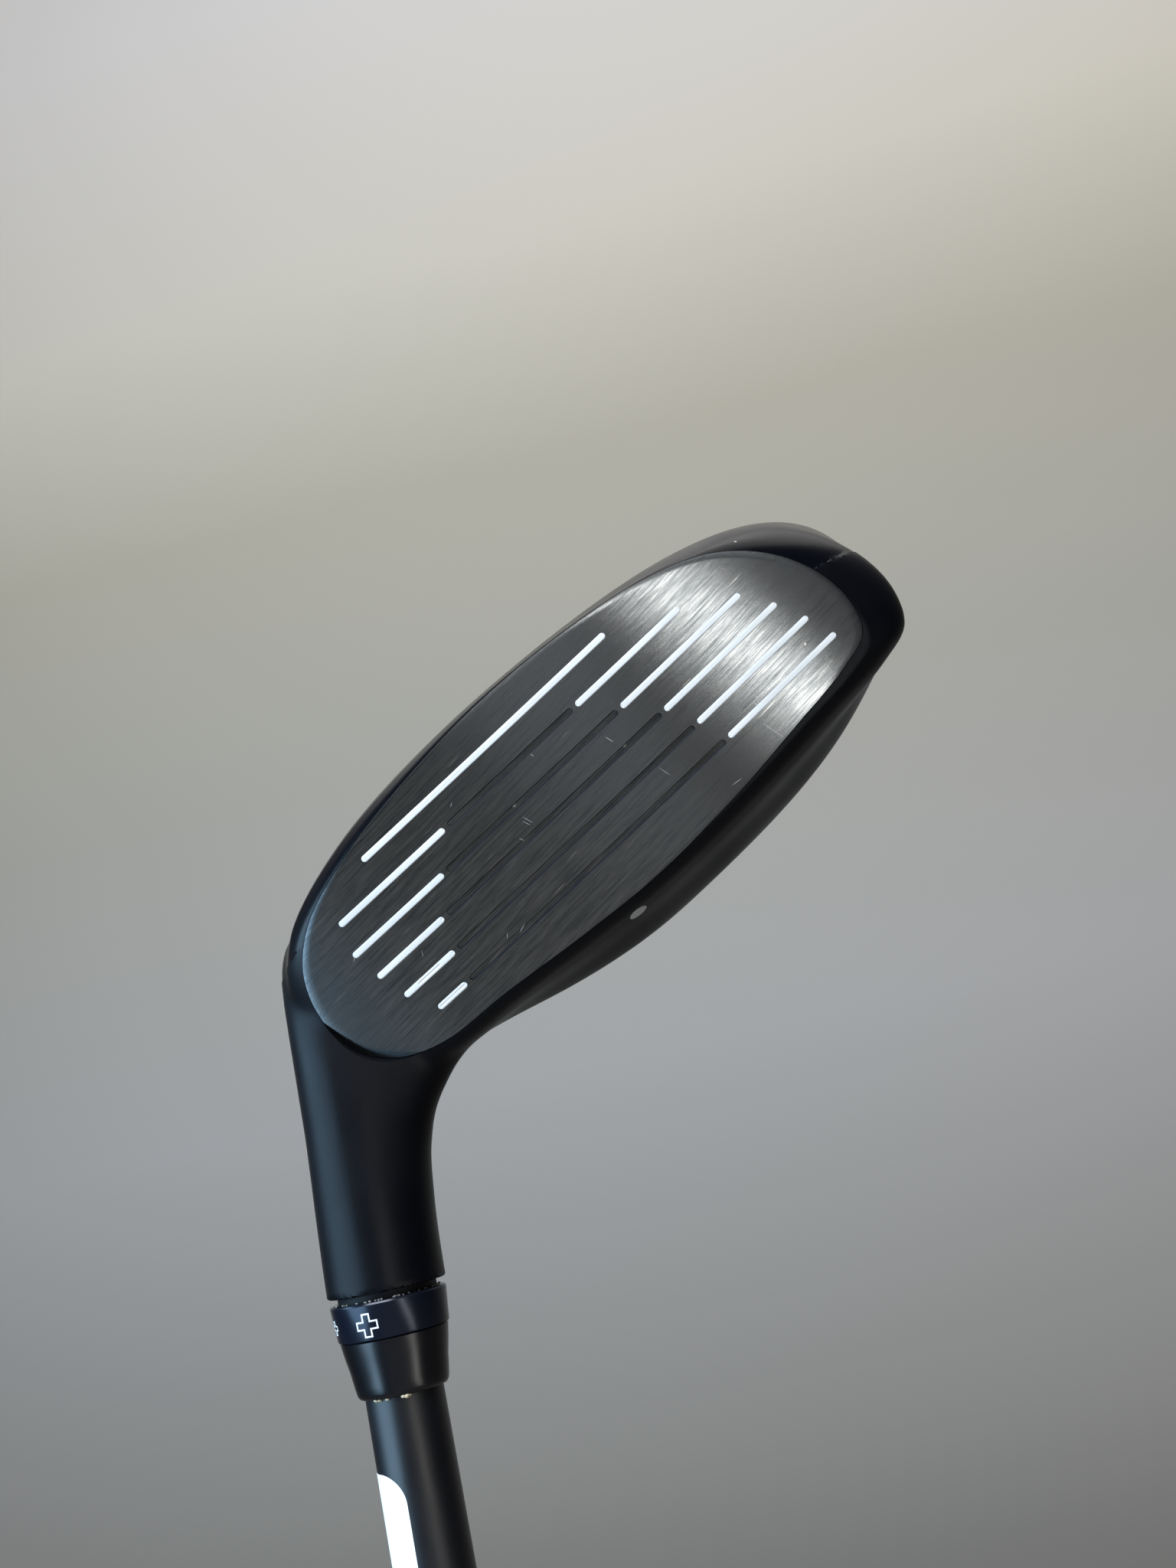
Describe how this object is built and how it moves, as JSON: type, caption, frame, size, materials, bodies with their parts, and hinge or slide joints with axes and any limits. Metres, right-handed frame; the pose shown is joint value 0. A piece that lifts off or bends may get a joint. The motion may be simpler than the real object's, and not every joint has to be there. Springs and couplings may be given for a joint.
{
  "type": "hybrid golf club",
  "caption": "Hybrid golf club with an adjustable hosel: hollow black head, brushed face with white score lines, index sleeve, ferrule, graphite shaft and rubber grip.",
  "frame": {"origin": "centre of the flat butt face of the grip", "axes": "+Z along the shaft to the head, -Y the way the face looks, +X toward the toe and up the face"},
  "size_m": [0.0969, 0.0635, 1.0386],
  "materials": {
    "head_body": "satin black paint",
    "face_plate": "brushed, dark",
    "crown_shell": "satin black over composite",
    "hosel_screw": "satin",
    "screw_washer": "satin",
    "screw_retainer": "moulded black",
    "rear_weight": "satin dark steel",
    "weight_gasket": "matte",
    "hosel_sleeve": "black anodised, satin",
    "ferrule": "polished black",
    "shaft": "satin dark grey coat over graphite",
    "tip_plug": "foam",
    "shaft_label": "coated white",
    "grip_tape": "matte",
    "grip": "matte, patterned",
    "grip_cap": "matte"
  },
  "bodies": {
    "shaft_assembly": {"shaft": "shaft", "tip_plug": "tip_plug", "shaft_label": "shaft_label", "hosel_sleeve": "hosel_sleeve", "ferrule": "ferrule", "grip_tape": "grip_tape", "grip": "grip", "grip_cap": "grip_cap"},
    "screw_washer": {"screw_washer": "screw_washer"},
    "head": {"head_body": "head_body", "face_plate": "face_plate", "crown_shell": "crown_shell", "screw_retainer": "screw_retainer"},
    "hosel_screw": {"hosel_screw": "hosel_screw"},
    "weight_gasket": {"weight_gasket": "weight_gasket"},
    "rear_weight": {"rear_weight": "rear_weight"}
  },
  "joints": [
    {"name": "head_lift", "type": "slide", "parent": "shaft_assembly", "child": "screw_washer", "axis": [0, 0, 1], "range_m": [0, 0.0064]},
    {"name": "head_index", "type": "hinge", "parent": "screw_washer", "child": "head", "pos_m": [0, 0, 0.9497], "axis": [0, 0, 1], "range_deg": [-180, 180]},
    {"name": "screw_turn", "type": "hinge", "parent": "screw_washer", "child": "hosel_screw", "pos_m": [0, 0, 0.9787], "axis": [0, 0, 1], "range_deg": [0, 2890]},
    {"name": "weight_travel", "type": "slide", "parent": "head", "child": "weight_gasket", "axis": [-0.4925, 0.2419, 0.836], "range_m": [0, 0.006]},
    {"name": "weight_turn", "type": "hinge", "parent": "weight_gasket", "child": "rear_weight", "pos_m": [0.0327, 0.03114, 1.02332], "axis": [-0.4925, 0.2419, 0.836], "range_deg": [0, 2170]}
  ],
  "couplings": [
    {"joint": "screw_turn", "follows": "head_lift", "rad_per_m": 7854},
    {"joint": "weight_turn", "follows": "weight_travel", "rad_per_m": 6283.2}
  ]
}
